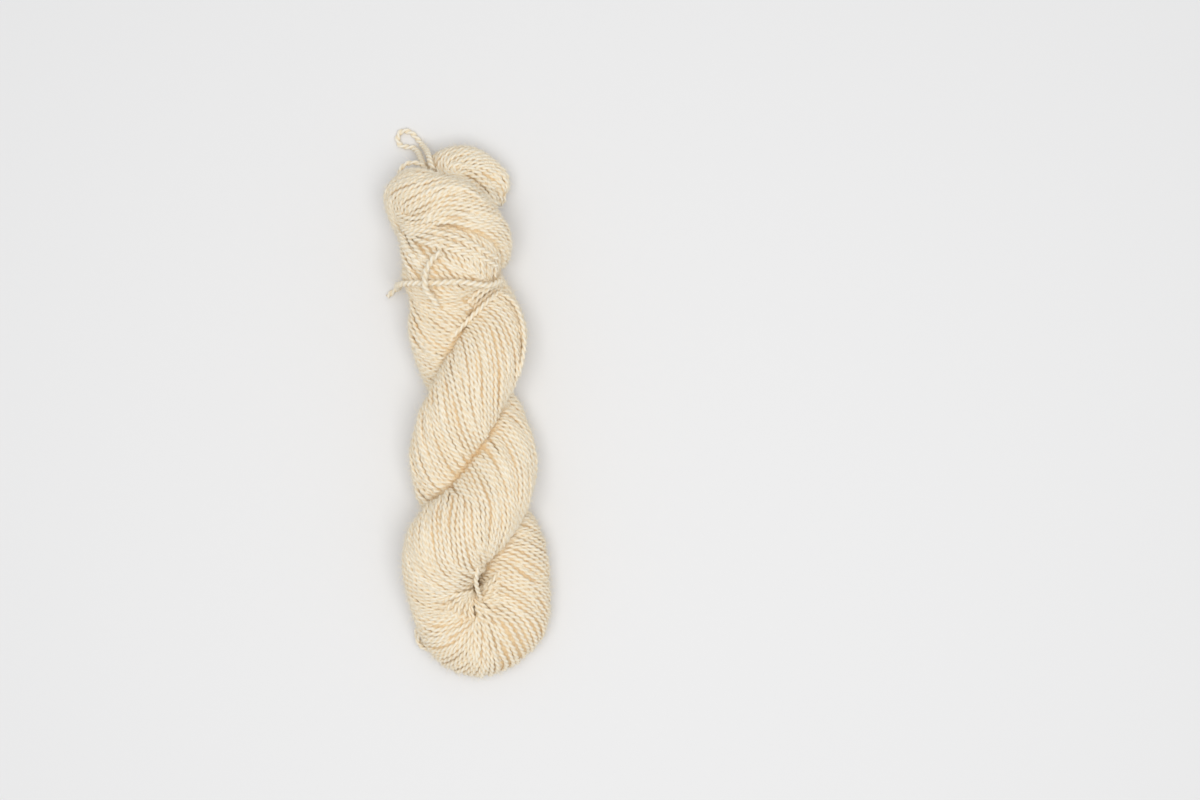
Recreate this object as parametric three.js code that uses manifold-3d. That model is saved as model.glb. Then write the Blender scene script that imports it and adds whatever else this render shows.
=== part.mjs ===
// A twisted hank of two-ply wool yarn, lying down, with its two ties.
// Millimetres. +Z is up and the surface it lies on is z = 0. +Y runs up the hank, from the folded end to the
// knotted head. The origin is on that surface, under the middle of the hank.
//
// The skein is one long bundle of yarns. It starts at the cap, the end loop that pokes out of the head, runs
// down as the first ply, turns back at the fold, climbs as the second ply and closes as the wrap over the neck.
import * as THREE from "three";
import { ConvexGeometry } from "three/addons/geometries/ConvexGeometry.js";
import { mergeVertices } from "three/addons/utils/BufferGeometryUtils.js";
import Module from "manifold-3d";

const wasm = await Module();
wasm.setup();

// Driving sizes
const YARN_D = 3.0; // thickness of the two-ply yarn
const PITCH = 142.8; // length of one full turn of the two plies around each other
const PHASE_Y = -97.3; // where the plies' turn is counted from, the height of the hole at the fold
const AXIS_Z = 20.5; // height of the rope's axis over the surface
const TOP_SQUASH = 0.9; // how much the wool settles above the axis
const SAG_REACH = 25.0; // how far wool reaches below the axis, however much of it there is
const RING_SIDES = 28; // facets around the bundle
const RING_STEP = 5.6; // distance between two rings of the bundle
const HELIX_STEP = 8.0; // distance between two centres on the helix
const TIE_SIDES = 8; // facets around a tie's yarn
const TIE_STEP = 3.0; // distance between two rings of a tie's yarn
const TO_MIDDLE = [-0.9, 0.0, 0.0]; // moves the shapes below so that the origin is under the hank's middle
const CLEAN = 0.03; // edges shorter than this are dropped from the joined solid

// The rope's own axis and how its plies lie around it, from the neck down. It is narrowest under the neck's tie.
const ROPE = [
  { y: 91.3, x: -8.5, helix: 11.0, ply: 26.0 },
  { y: 78.8, x: -7.6, helix: 10.5, ply: 26.6 },
  { y: 70.0, x: -6.2, helix: 10.5, ply: 23.6 },
  { y: 62.0, x: -3.6, helix: 10.0, ply: 19.0 },
  { y: 55.0, x: -1.0, helix: 11.0, ply: 19.2 },
  { y: 45.8, x: 0.6, helix: 12.0, ply: 20.2 },
  { y: 32.7, x: 1.8, helix: 12.0, ply: 20.8 },
  { y: 10.0, x: 2.4, helix: 12.0, ply: 20.4 },
  { y: -10.4, x: 3.5, helix: 12.5, ply: 21.2 },
  { y: -25.9, x: 3.9, helix: 13.5, ply: 21.4 },
  { y: -42.5, x: 4.2, helix: 13.5, ply: 22.0 },
  { y: -58.0, x: 4.2, helix: 13.5, ply: 21.6 },
];

// Centres of the bundle past the helix, with z its height over the rope's axis and r its radius.
// The cap is the end loop that pokes out of the head, from its tip back to the neck.
const CAP = [
  { x: 18.6, y: 116.0, z: -9.0, r: 5.4 },
  { x: 16.2, y: 122.6, z: -8.5, r: 9.6 },
  { x: 9.5, y: 128.0, z: -7.5, r: 12.5 },
  { x: 2.0, y: 130.5, z: -6.5, r: 14.8 },
  { x: -7.5, y: 129.2, z: -5.5, r: 16.4 },
  { x: -9.5, y: 121.5, z: -3.5, r: 16.4 },
  { x: -10.5, y: 112.0, z: 1.0, r: 20.0 },
  { x: -8.0, y: 100.0, z: 6.8, r: 22.5 },
];
// The fold is the U-turn at the foot, from the first ply to the second.
const FOLD = [
  { x: -2.0, y: -64.0, z: 13.0, r: 23.0 },
  { x: -9.5, y: -73.0, z: 10.5, r: 24.0 },
  { x: -13.5, y: -84.0, z: 5.5, r: 21.8 },
  { x: -14.3, y: -95.0, z: -0.5, r: 19.0 },
  { x: -12.4, y: -104.6, z: -4.5, r: 18.4 },
  { x: -9.3, y: -112.0, z: -7.5, r: 20.2 },
  { x: -4.5, y: -118.2, z: -9.3, r: 22.4 },
  { x: 2.8, y: -121.8, z: -10.2, r: 24.0 },
  { x: 10.8, y: -121.0, z: -10.5, r: 24.0 },
  { x: 18.0, y: -117.0, z: -10.5, r: 23.5 },
  { x: 23.4, y: -111.2, z: -10.0, r: 22.8 },
  { x: 25.3, y: -103.5, z: -9.2, r: 21.2 },
  { x: 25.6, y: -95.0, z: -8.5, r: 20.6 },
  { x: 24.8, y: -85.0, z: -8.3, r: 21.0 },
  { x: 21.5, y: -74.5, z: -9.5, r: 21.6 },
  { x: 14.5, y: -64.5, z: -12.0, r: 21.6 },
];
// The wrap is the other end loop, from behind the neck round its left side and over its front.
const WRAP = [
  { x: -14.0, y: 91.0, z: -10.5, r: 22.5 },
  { x: -21.0, y: 100.5, z: -8.5, r: 18.0 },
  { x: -26.5, y: 109.0, z: -2.5, r: 16.4 },
  { x: -28.5, y: 115.5, z: 6.0, r: 16.0 },
  { x: -24.5, y: 116.6, z: 14.5, r: 15.0 },
  { x: -16.0, y: 113.4, z: 20.5, r: 14.6 },
  { x: -6.5, y: 111.0, z: 23.0, r: 14.8 },
  { x: 2.5, y: 105.0, z: 21.0, r: 14.4 },
  { x: 10.0, y: 98.5, z: 14.5, r: 13.6 },
  { x: 14.0, y: 91.5, z: 6.0, r: 12.0 },
  { x: 13.5, y: 84.0, z: -3.0, r: 10.0 },
  { x: 9.0, y: 78.0, z: -9.0, r: 8.0 },
];

// The ties' centrelines. Both were knotted out of the same yarn.
// The top tie comes out of the crease between cap and wrap, drapes down the cap's side, lies on the surface in a
// small loop and climbs back beside itself.
const TOP_TIE = [
  [-17.3, 131.0, 30.4],
  [-18.3, 133.2, 28.8],
  [-19.2, 135.9, 26.6],
  [-20.1, 138.8, 23.0],
  [-21.4, 141.8, 17.0],
  [-22.9, 144.5, 11.0],
  [-24.7, 146.7, 6.5],
  [-26.4, 148.8, 3.4],
  [-28.0, 150.9, 2.2],
  [-29.6, 152.8, 1.8],
  [-31.2, 154.4, 1.8],
  [-33.1, 155.4, 1.8],
  [-35.7, 155.9, 1.8],
  [-37.7, 155.1, 1.8],
  [-39.0, 153.4, 1.8],
  [-39.3, 151.0, 1.8],
  [-38.5, 148.7, 1.8],
  [-36.4, 147.3, 1.8],
  [-33.5, 146.9, 1.8],
  [-30.9, 146.4, 2.3],
  [-28.8, 144.8, 4.6],
  [-27.1, 142.6, 8.5],
  [-25.9, 140.2, 13.0],
  [-24.7, 137.6, 18.0],
  [-23.5, 135.2, 22.0],
  [-22.7, 133.4, 24.4],
];
// The neck tie crosses the front of the neck, drapes down its left side and ends loose on the surface.
const NECK_TIE = [
  [19.3, 71.2, 29.2],
  [18.5, 70.6, 33.6],
  [16.6, 69.3, 38.3],
  [14.6, 68.3, 41.4],
  [12.6, 67.9, 43.6],
  [9.6, 68.0, 46.4],
  [6.6, 68.3, 49.0],
  [2.5, 68.8, 51.2],
  [-1.8, 69.1, 52.7],
  [-6.4, 69.0, 53.4],
  [-12.3, 68.5, 53.2],
  [-17.9, 68.5, 51.8],
  [-23.7, 68.6, 49.0],
  [-28.3, 68.7, 45.3],
  [-32.4, 68.7, 40.4],
  [-35.6, 68.6, 33.6],
  [-37.2, 68.6, 26.0],
  [-37.6, 68.6, 18.0],
  [-37.8, 68.6, 10.5],
  [-38.3, 68.5, 5.2],
  [-40.0, 67.9, 2.4],
  [-42.3, 66.3, 1.8],
  [-45.0, 63.7, 1.8],
];
// The knot's other end comes from under the neck's yarns and passes over the neck tie.
const NECK_TIE_END = [
  [-11.0, 84.4, 55.7],
  [-13.1, 83.1, 55.4],
  [-15.5, 81.1, 54.9],
  [-17.5, 77.9, 54.4],
  [-19.1, 74.4, 54.4],
  [-19.6, 71.2, 55.2],
  [-19.6, 68.4, 55.3],
  [-19.2, 65.8, 53.8],
  [-18.3, 63.6, 51.6],
  [-16.3, 61.2, 49.4],
  [-13.8, 57.1, 46.6],
];

// The rope's row at a height y, read off the table between its two nearest rows.
function ropeAt(y) {
  const below = ROPE.findIndex((row) => row.y <= y);
  const i = Math.max(below, 1);
  const [upper, lower] = [ROPE[i - 1], ROPE[i]];
  const share = (y - upper.y) / (lower.y - upper.y);
  const mix = (key) => THREE.MathUtils.lerp(upper[key], lower[key], share);
  return { x: mix("x"), helix: mix("helix"), ply: mix("ply") };
}

// Centres of one ply on its helix, between two heights. Phase is its angle at the hole.
function helixRows(fromY, toY, phase) {
  const count = Math.round(Math.abs(toY - fromY) / HELIX_STEP);
  const rows = [];
  for (let i = 0; i <= count; i++) {
    const y = THREE.MathUtils.lerp(fromY, toY, i / count);
    const at = ropeAt(y);
    const angle = phase - (2 * Math.PI * (y - PHASE_Y)) / PITCH;
    rows.push({
      x: at.x + at.helix * Math.cos(angle),
      y,
      z: at.helix * Math.sin(angle),
      r: at.ply,
    });
  }
  return rows;
}

// Wool settles under its own weight: the top sinks a little and the underside spreads on the surface.
function settle(z) {
  if (z >= 0) return AXIS_Z + TOP_SQUASH * z;
  return AXIS_Z - SAG_REACH * Math.tanh((TOP_SQUASH * -z) / SAG_REACH);
}

// A smooth curve through the rows, each turned into a point.
function smooth(rows, toPoint) {
  return new THREE.CatmullRomCurve3(rows.map(toPoint), false, "centripetal");
}

// The rings of the whole bundle along its rows, each a list of points around it. They shrink to round its ends.
function bundleRings(rows) {
  const path = smooth(rows, (row) => new THREE.Vector3(row.x, row.y, row.z));
  const radii = smooth(rows, (row) => new THREE.Vector3(row.r, 0, 0));
  path.arcLengthDivisions = rows.length * 20;
  const count = Math.ceil(path.getLength() / RING_STEP);
  const { normals, binormals } = path.computeFrenetFrames(count, false);
  const rings = [];
  for (let i = 0; i <= count; i++) {
    const centre = path.getPointAt(i / count);
    const full = radii.getPoint(path.getUtoTmapping(i / count)).x;
    const fromEnd = Math.min(i, count - i) * RING_STEP;
    const inset = Math.max(0, 1 - fromEnd / full);
    const radius = full * Math.sqrt(1 - inset * inset);
    rings.push(ringPoints(centre, radius, normals[i], binormals[i]));
  }
  return rings;
}

// Points around a ring, settled. A ring of no size is a single point.
function ringPoints(centre, radius, side, up) {
  const points = [];
  for (let i = 0; i < (radius > 0 ? RING_SIDES : 1); i++) {
    const angle = (2 * Math.PI * i) / RING_SIDES;
    const point = centre
      .clone()
      .addScaledVector(side, radius * Math.cos(angle))
      .addScaledVector(up, radius * Math.sin(angle));
    point.z = settle(point.z);
    points.push(point);
  }
  return points;
}

// A geometry's welded triangles as a solid, without those that collapse at a bundle's ends.
function solid(geometry) {
  geometry.deleteAttribute("normal");
  geometry.deleteAttribute("uv");
  const welded = mergeVertices(geometry, 1e-3);
  const index = welded.index.array;
  const kept = [];
  for (let i = 0; i < index.length; i += 3) {
    const [a, b, c] = index.slice(i, i + 3);
    if (a !== b && b !== c && c !== a) kept.push(a, b, c);
  }
  const made = (order) =>
    new wasm.Manifold(
      new wasm.Mesh({
        numProp: 3,
        vertProperties: welded.attributes.position.array,
        triVerts: new Uint32Array(order),
      }),
    );
  const first = made(kept);
  return first.volume() > 0 ? first : made(kept.reverse());
}

// The main body, without the crumbs that a union leaves between two faceted surfaces.
function largest(body) {
  return body.decompose().reduce((a, b) => (a.volume() > b.volume() ? a : b));
}

// A solid back as a geometry.
function geometryOf(body) {
  const mesh = body.getMesh();
  return new THREE.BufferGeometry()
    .setAttribute("position", new THREE.BufferAttribute(mesh.vertProperties, 3))
    .setIndex(new THREE.BufferAttribute(mesh.triVerts, 1));
}

// The wound hank: cap, two plies, fold and wrap in one solid, flat where it rests.
function hankGeometry() {
  const firstPly = helixRows(87.0, -55.0, Math.PI);
  const secondPly = helixRows(-56.0, 82.0, 0);
  const rings = bundleRings([...CAP, ...firstPly, ...FOLD, ...secondPly, ...WRAP]);
  const links = [];
  for (let i = 1; i < rings.length; i++) {
    links.push(solid(new ConvexGeometry([...rings[i - 1], ...rings[i]])));
  }
  const room = 400;
  const above = solid(
    new THREE.BoxGeometry(room, room, room).translate(0, 0, room / 2),
  );
  const body = wasm.Manifold.union(links).intersect(above).simplify(CLEAN);
  return geometryOf(largest(body));
}

// A tie's yarn, a plain round cord along its centreline.
function tieGeometry(route) {
  const path = new THREE.CatmullRomCurve3(
    route.map((point) => new THREE.Vector3(...point)),
    false,
    "centripetal",
  );
  const section = new THREE.Shape();
  section.absarc(0, 0, YARN_D / 2, 0, 2 * Math.PI);
  return new THREE.ExtrudeGeometry(section, {
    steps: Math.round(path.getLength() / TIE_STEP),
    curveSegments: TIE_SIDES / 2,
    extrudePath: path,
  });
}

const WOOL = new THREE.MeshStandardMaterial({
  color: 0xe6d6b9,
  roughness: 0.95,
  metalness: 0,
});

const group = new THREE.Group();
const shapes = {
  hank: hankGeometry(),
  top_tie: tieGeometry(TOP_TIE),
  neck_tie: tieGeometry(NECK_TIE),
  neck_tie_end: tieGeometry(NECK_TIE_END),
};
for (const [name, geometry] of Object.entries(shapes)) {
  const mesh = new THREE.Mesh(geometry.translate(...TO_MIDDLE), WOOL.clone());
  mesh.name = name;
  group.add(mesh);
}

export default group;
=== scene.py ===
"""A twisted hank of two-ply wool yarn lying on a pale surface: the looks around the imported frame.

Strands are laid in millimetres, as the solids are, and meshes are in metres. The skein is one bundle of
yarns with the solid's centreline and radius. Strands lie on its surface as evenly spaced lines, at the angle
that the twist gives them, and each is swept as a two-ply yarn.
"""

import math
from collections import namedtuple
from itertools import product
from types import SimpleNamespace

import bpy
import numpy as np
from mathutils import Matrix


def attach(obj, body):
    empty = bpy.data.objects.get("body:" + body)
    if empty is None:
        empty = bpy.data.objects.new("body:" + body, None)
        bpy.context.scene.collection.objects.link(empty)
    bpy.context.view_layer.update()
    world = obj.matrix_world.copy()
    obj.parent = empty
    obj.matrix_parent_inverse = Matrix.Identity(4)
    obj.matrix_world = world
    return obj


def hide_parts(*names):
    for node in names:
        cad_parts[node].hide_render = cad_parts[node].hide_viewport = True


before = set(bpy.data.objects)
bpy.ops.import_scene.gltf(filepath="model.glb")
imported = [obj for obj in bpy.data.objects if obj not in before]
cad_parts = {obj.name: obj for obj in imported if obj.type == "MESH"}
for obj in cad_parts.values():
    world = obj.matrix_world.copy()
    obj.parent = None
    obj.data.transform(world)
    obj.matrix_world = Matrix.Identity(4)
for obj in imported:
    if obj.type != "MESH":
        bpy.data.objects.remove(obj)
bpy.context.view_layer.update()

MM = 0.001
rng = np.random.default_rng(7)

# The solid's sizes, in millimetres
YARN_D = 3.0
YARN_R = YARN_D / 2
TIE_R = 1.65  # to the outside of the two plies, where the yarn lies loose
STRAND_R = 1.45  # the same yarn pressed and stretched in the hank
PITCH = 142.8
PHASE_Y = -97.3
AXIS_Z = 20.5
TOP_SQUASH = 0.9
SAG_REACH = 25.0
TO_MIDDLE = np.array([-0.9, 0.0, 0.0])
HELIX_STEP = 8.0

# The rope's axis and its plies around it. lay is the strands' angle to the ply, in degrees.
RopeRow = namedtuple("RopeRow", "y x helix ply first_lay second_lay")
ROPE = [
    RopeRow(91.3, -8.5, 11.0, 26.0, 66, 30),
    RopeRow(78.8, -7.6, 10.5, 26.6, 68, 30),
    RopeRow(70.0, -6.2, 10.5, 23.6, 60, 30),
    RopeRow(62.0, -3.6, 10.0, 19.0, 54, 32),
    RopeRow(55.0, -1.0, 11.0, 19.2, 54, 37),
    RopeRow(45.8, 0.6, 12.0, 20.2, 60, 42),
    RopeRow(32.7, 1.8, 12.0, 20.8, 60, 46),
    RopeRow(10.0, 2.4, 12.0, 20.4, 46, 48),
    RopeRow(-10.4, 3.5, 12.5, 21.2, 42, 46),
    RopeRow(-25.9, 3.9, 13.5, 21.4, 44, 46),
    RopeRow(-42.5, 4.2, 13.5, 22.0, 50, 48),
    RopeRow(-58.0, 4.2, 13.5, 21.6, 58, 54),
]

# Centres of the bundle past the helix, with z its height over the rope's axis and r its radius.
Row = namedtuple("Row", "x y z r lay gap")
CAP = [
    Row(18.6, 116, -9, 5.4, 8, 2.1),
    Row(16.2, 122.6, -8.5, 9.6, 10, 2.1),
    Row(9.5, 128, -7.5, 12.5, 14, 2.1),
    Row(2, 130.5, -6.5, 14.8, 24, 2.1),
    Row(-7.5, 129.2, -5.5, 16.4, 34, 2.1),
    Row(-9.5, 121.5, -3.5, 16.4, 42, 2.1),
    Row(-10.5, 112, 1, 20, 54, 2.2),
    Row(-8, 100, 6.8, 22.5, 62, 2.2),
]
FOLD = [
    Row(-2, -64, 13, 23, 61, 2.2),
    Row(-9.5, -73, 10.5, 24, 59, 2.2),
    Row(-13.5, -84, 5.5, 21.8, 58, 2.2),
    Row(-14.3, -95, -0.5, 19, 61, 2.2),
    Row(-12.4, -104.6, -4.5, 18.4, 70, 2.2),
    Row(-9.3, -112, -7.5, 20.2, 80, 2.3),
    Row(-4.5, -118.2, -9.3, 22.4, 86, 2.4),
    Row(2.8, -121.8, -10.2, 24, 87, 2.5),
    Row(10.8, -121, -10.5, 24, 86, 2.7),
    Row(18, -117, -10.5, 23.5, 82, 2.8),
    Row(23.4, -111.2, -10, 22.8, 74, 2.8),
    Row(25.3, -103.5, -9.2, 21.2, 66, 2.7),
    Row(25.6, -95, -8.5, 20.6, 64, 2.6),
    Row(24.8, -85, -8.3, 21, 66, 2.5),
    Row(21.5, -74.5, -9.5, 21.6, 66, 2.2),
    Row(14.5, -64.5, -12, 21.6, 60, 2.2),
]
WRAP = [
    Row(-14, 91, -10.5, 22.5, 20, 2.1),
    Row(-21, 100.5, -8.5, 18, 10, 2.1),
    Row(-26.5, 109, -2.5, 16.4, 15, 2.1),
    Row(-28.5, 115.5, 6, 16, 30, 2.1),
    Row(-24.5, 116.6, 14.5, 15, 45, 2.1),
    Row(-16, 113.4, 20.5, 14.6, 48, 2.1),
    Row(-6.5, 111, 23, 14.8, 42, 2.1),
    Row(2.5, 105, 21, 14.4, 34, 2.1),
    Row(10, 98.5, 14.5, 13.6, 20, 2.1),
    Row(14, 91.5, 6, 12, 14, 2.1),
    Row(13.5, 84, -3, 10, 12, 2.1),
    Row(9, 78, -9, 8, 12, 2.1),
]

# The ties' centrelines
TOP_TIE = [
    (-17.3, 131.0, 30.4), (-18.3, 133.2, 28.8), (-19.2, 135.9, 26.6), (-20.1, 138.8, 23.0),
    (-21.4, 141.8, 17.0), (-22.9, 144.5, 11.0), (-24.7, 146.7, 6.5), (-26.4, 148.8, 3.4),
    (-28.0, 150.9, 2.2), (-29.6, 152.8, 1.8), (-31.2, 154.4, 1.8), (-33.1, 155.4, 1.8),
    (-35.7, 155.9, 1.8), (-37.7, 155.1, 1.8), (-39.0, 153.4, 1.8), (-39.3, 151.0, 1.8),
    (-38.5, 148.7, 1.8), (-36.4, 147.3, 1.8), (-33.5, 146.9, 1.8), (-30.9, 146.4, 2.3),
    (-28.8, 144.8, 4.6), (-27.1, 142.6, 8.5), (-25.9, 140.2, 13.0), (-24.7, 137.6, 18.0),
    (-23.5, 135.2, 22.0), (-22.7, 133.4, 24.4),
]
NECK_TIE = [
    (19.3, 71.2, 29.2), (18.5, 70.6, 33.6), (16.6, 69.3, 38.3), (14.6, 68.3, 41.4),
    (12.6, 67.9, 43.6), (9.6, 68.0, 46.4), (6.6, 68.3, 49.0), (2.5, 68.8, 51.2),
    (-1.8, 69.1, 52.7), (-6.4, 69.0, 53.4), (-12.3, 68.5, 53.2), (-17.9, 68.5, 51.8),
    (-23.7, 68.6, 49.0), (-28.3, 68.7, 45.3), (-32.4, 68.7, 40.4), (-35.6, 68.6, 33.6),
    (-37.2, 68.6, 26.0), (-37.6, 68.6, 18.0), (-37.8, 68.6, 10.5), (-38.3, 68.5, 5.2),
    (-40.0, 67.9, 2.4), (-42.3, 66.3, 1.8), (-45.0, 63.7, 1.8),
]
NECK_TIE_END = [
    (-11.0, 84.4, 55.7), (-13.1, 83.1, 55.4), (-15.5, 81.1, 54.9), (-17.5, 77.9, 54.4),
    (-19.1, 74.4, 54.4), (-19.6, 71.2, 55.2), (-19.6, 68.4, 55.3), (-19.2, 65.8, 53.8),
    (-18.3, 63.6, 51.6), (-16.3, 61.2, 49.4), (-13.8, 57.1, 46.6),
]

# Single strands that lie out of the rows. Each is a lift over the other strands of the wool below it, and
# places seen from above. One that also has a ceiling passes under the wool above that height.
NO_CEILING = 99.0
LOOSE = [
    # At the right edge, and in the groove
    (1.0, [(17, 65), (22, 63), (26.5, 59), (30, 51), (32, 40), (31.5, 30), (29, 20)]),
    (0.4, [(20, 66.7), (15.5, 62.8), (10, 57.4), (3.5, 50.9), (-2.5, 44.5), (-8.5, 38)]),
    # At the wrap's foot
    (0.7, [(-35.5, 105), (-31, 101.2), (-26, 99.2), (-19, 99.6), (-10, 101), (-2, 100.6), (6, 98)]),
    (0.8, [
        (-34.5, 101.5), (-29, 98.6), (-22.5, 97.2), (-14, 95.8), (-4.2, 93), (6.5, 88.6), (17.5, 82.5),
    ]),
    (0.8, [
        (-33.5, 98.5), (-27.5, 95.4), (-20.5, 93.8), (-12, 91.4), (-3, 88), (7, 84), (17.5, 78.5),
    ]),
    (0.6, [(-31, 96.5), (-25.5, 92.3), (-19, 89.8), (-10, 87.4), (0, 84.4), (10, 79.8)]),
    (0.5, [(-24, 101.8), (-18, 103.2), (-11, 105.6), (-4, 106), (4, 103.6), (12, 98)]),
    # Down the neck's left side
    (0.5, [(-35, 97), (-32, 90), (-27.6, 83.5), (-22, 77)]),
    (0.4, [(-34.5, 90), (-32.5, 83), (-29, 76.5), (-25, 71)]),
    (0.5, [(-31.5, 98), (-28, 91), (-23.6, 85.5), (-18, 79)]),
    # Over the cap, and in its crease with the wrap
    (0.5, [(-12.5, 130), (-6, 134), (2, 132.5), (9, 128), (14.5, 121.5), (17.5, 114.5)], 33.0),
    (0.5, [(-8, 127), (-2, 130), (5, 128), (10.5, 123.5), (14.5, 117.5), (17, 111.5)], 33.0),
    (0.5, [(-3, 125), (3, 125.5), (8, 121.5), (12, 117), (15, 111)], 33.0),
    (0.5, [(0, 122.5), (5, 121), (9.5, 117), (13.5, 111)], 33.0),
    (0.0, [
        (-15.5, 131), (-9.5, 130), (-3, 127), (3.5, 123.2), (9, 119.6), (13.5, 115.4), (17, 110.5),
    ], 33.0),
    (0.1, [
        (-14, 128.8), (-8, 127.8), (-2, 125), (4, 121.4), (9.5, 117.6), (14, 113), (17.6, 108),
    ], 33.0),
    # Round the wrap's left end, and down the neck below it
    (0.4, [(-36.5, 107.5), (-32, 104.8), (-27, 103.4), (-20, 104.4), (-12, 107)]),
    (0.3, [(-35.5, 103), (-31, 99.2), (-25.5, 98.2), (-18, 98.6), (-10, 97.6)]),
    (0.4, [(-35.5, 105.5), (-31, 102.4), (-26.5, 101.2), (-20, 101.6), (-12, 102.8), (-4, 101.8)]),
    (0.3, [(-34, 99.5), (-29, 96.9), (-23, 96.4), (-16, 95.4), (-8, 92.6)]),
    (0.3, [(-34, 99), (-33.8, 94.5), (-32.6, 89), (-29.5, 82.5), (-25, 76.5)]),
    (0.2, [(-33, 96), (-30.5, 89.5), (-26.6, 83.5), (-21, 76.5)]),
    # Over the wrap, and down into the hole
    (0.2, [(-24, 113.5), (-17, 117.6), (-9, 119.6), (-1, 119.2), (6, 116), (12, 111)]),
    (-0.4, [(7.5, -81.7), (6.7, -87.1), (6.5, -92.5), (7.3, -97.4), (8.7, -101.7)]),
    # In the gap under the wrap's right end
    (-1.0, [(19.5, 69), (14.5, 65.4), (9.5, 60.8), (4, 55.6)], 41.0),
    (-1.1, [(17, 68.6), (12, 65.6), (7.5, 61.6), (3, 57)], 41.0),
    (-1.0, [(14, 68.2), (9.5, 66), (5.5, 62.6), (1.5, 58.8)], 41.0),
]
# Single strands whose places have heights too
HUNG = [
    # The arch at the head
    [
        (-34.5, 127, 24), (-35.8, 130.8, 25), (-33.2, 134.2, 25.5), (-29, 135.4, 26),
        (-24.5, 134.6, 26), (-20.5, 131.6, 26),
    ],
    [(-34.5, 125.5, 27), (-31, 130, 28), (-25.5, 131, 28), (-20.5, 129.5, 28)],
    # The ends of the cap's loops
    [
        (16.5, 124.5, 13), (19.6, 121, 13), (20.4, 117.5, 12.5), (19.4, 115, 10.5), (16.8, 115, 7.5),
        (15, 118.5, 6),
    ],
    [
        (13.5, 124.5, 17), (17.4, 121, 17), (18.8, 117.8, 16.5), (18.2, 115, 14.5), (16, 114, 11),
        (14, 116.5, 8),
    ],
    [
        (11.5, 122.5, 20), (15.2, 119.4, 20), (16.8, 116.4, 19), (16.6, 114, 16.5), (14.5, 113, 13.5),
        (12.5, 115.5, 10.5),
    ],
    [
        (9.5, 120.8, 22.5), (13.2, 117.8, 22.5), (15, 114.8, 21), (14.4, 112.6, 18), (12, 112.5, 15),
        (10.5, 115, 12),
    ],
    # The wisp at the foot
    [(-20, -116, 16), (-25.5, -121.5, 11), (-27.6, -126.5, 8), (-25, -130, 8), (-19, -131.5, 10)],
    [(-22, -113, 14), (-27, -118.5, 9), (-28.6, -123, 6), (-26, -127.5, 6), (-20, -130, 8)],
]
# Turns of yarn that run together into the fold's hole, as a fan from one angle round its middle to another
HOLE_FAN = SimpleNamespace(
    middle=(4.6, -97.2),
    first=-182.0,
    last=20.0,
    count=17,
    places=5,
    near=0.9,
    far=(16.0, 22.0),
    turn=(-5.0, 5.0),
    curl=1.2,  # degrees for each millimetre
    lift=0.2,
    tone=0.1,
)
# The wool at the bottom of the fold's hole, a ball whose dark brown is painted shade
PLUG = SimpleNamespace(centre=(5.0, -98.5, 9.0), reach=(9.0, 10.0, 14.0), round=24, rings=13)

# How the strands are laid on the bundle
FIRST_PLY_Y = (87.0, -55.0)
SECOND_PLY_Y = (-56.0, 82.0)
ROUND_ANGLES = 96  # places round the bundle at which its surface is worked out
SPACING = 2.2  # between the centres of two neighbouring strands
TRACE_STEP = 1.0
MOST_STEPS = 600
OWN_STEPS = 10  # of its own that don't crowd a strand
END_MARGIN = 1.0  # kept from the bundle's ends
DIVE_DEPTH = 4.0  # how deep inside another stretch a strand is followed
SEED_DEPTH = 1.0  # and how deep one may start
OWN_BEND = 2.2  # how deep inside its own stretch's bend a strand may lie
NOWHERE = -99.0  # the depth of what lies inside no stretch
FAR = 30.0  # further than this along the bundle is another stretch of it
SLIP_LENGTH = 7.0  # over which a strand slips under its neighbours
SLIP_DEPTH = 3.0
SLIP_CURVE = 1.3
SHORTEST = 9.0  # a shorter strand is left out
SLIMMEST_END = 0.01  # of the squared radius, at the bundle's ends
STRETCH_RANGE = (0.12, 3.0)  # how much a bend may close or open the strands' angle
LEAST_ALONG = 0.25  # least length of the surface for a millimetre along the bundle
LEAST_AROUND = 1.0  # and for a radian round it
# The strands' angle wanders by waves, each with its radians a millimetre, turns round and size in degrees
WANDER = [(0.045, 1, 5.0), (0.11, 2, 4.0), (0.21, -3, 2.7), (0.33, 5, 2.0)]
# Rows of seeds of the strands, from one share of the bundle's length to another at an angle round it
SEED_ROWS = [(0.03, 0.97, 0.3), (0.05, 0.95, 3.3)]
SEEDS_IN_ROW = 24
SEED_SKIP = 8  # one in so many places of the grid is a seed
SEED_TURN = 0.02
SEED_ROOM = 0.03  # how much further off than its room a strand's next one is tried
SEED_STEPS = 2  # between the places where it is tried
# The two layers: the share of the gap that a new strand needs, the share at which it slips under, its depth
Fill = namedtuple("Fill", "room crowd sunk")
FILLS = [Fill(0.97, 0.68, 0.0), Fill(0.74, 0.6, 0.45)]

# How each strand is swept
PLY_PITCH = 7.9  # one full turn of the yarn's own two plies
LOBE_MEAN = 0.76  # the yarn's section reaches this share of its radius on average
LOBE_SWING = 0.24  # and this much more on its two plies and less between them
RING_STEP = 0.82  # between the rings of a strand
LEAST_RINGS = 8
SIDES = 8  # points round a ring
SIDES_UNDER = 6
SIDES_LOOSE = 10
SIDES_TIE = 14
TIE_STEP = 0.35
TIE_PHASE = 0.4
BOTTOM_Z = 5.0  # strands below this are the flat underside's
FLOOR_GAP = 0.92  # of a yarn's radius, under a strand's middle
SIZE_SPREAD = (0.92, 1.07)  # of a strand's radius
SUNK_SPREAD = (-0.1, 0.35)  # how deep a strand lies
LIFT_NOISE = (12, 0.42)  # a turn about every so many millimetres, and its size
SWAY_NOISE = (8, 0.34)
NOISE_STEP = 0.5
STEEPEST = 0.8  # a single strand bridges what falls off more steeply than this
DRAPE_REACH = 1.6  # a single strand lies on the highest wool that is as near as this
DRAPE_WINDOW = 9  # rings over which its heights are smoothed
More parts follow.
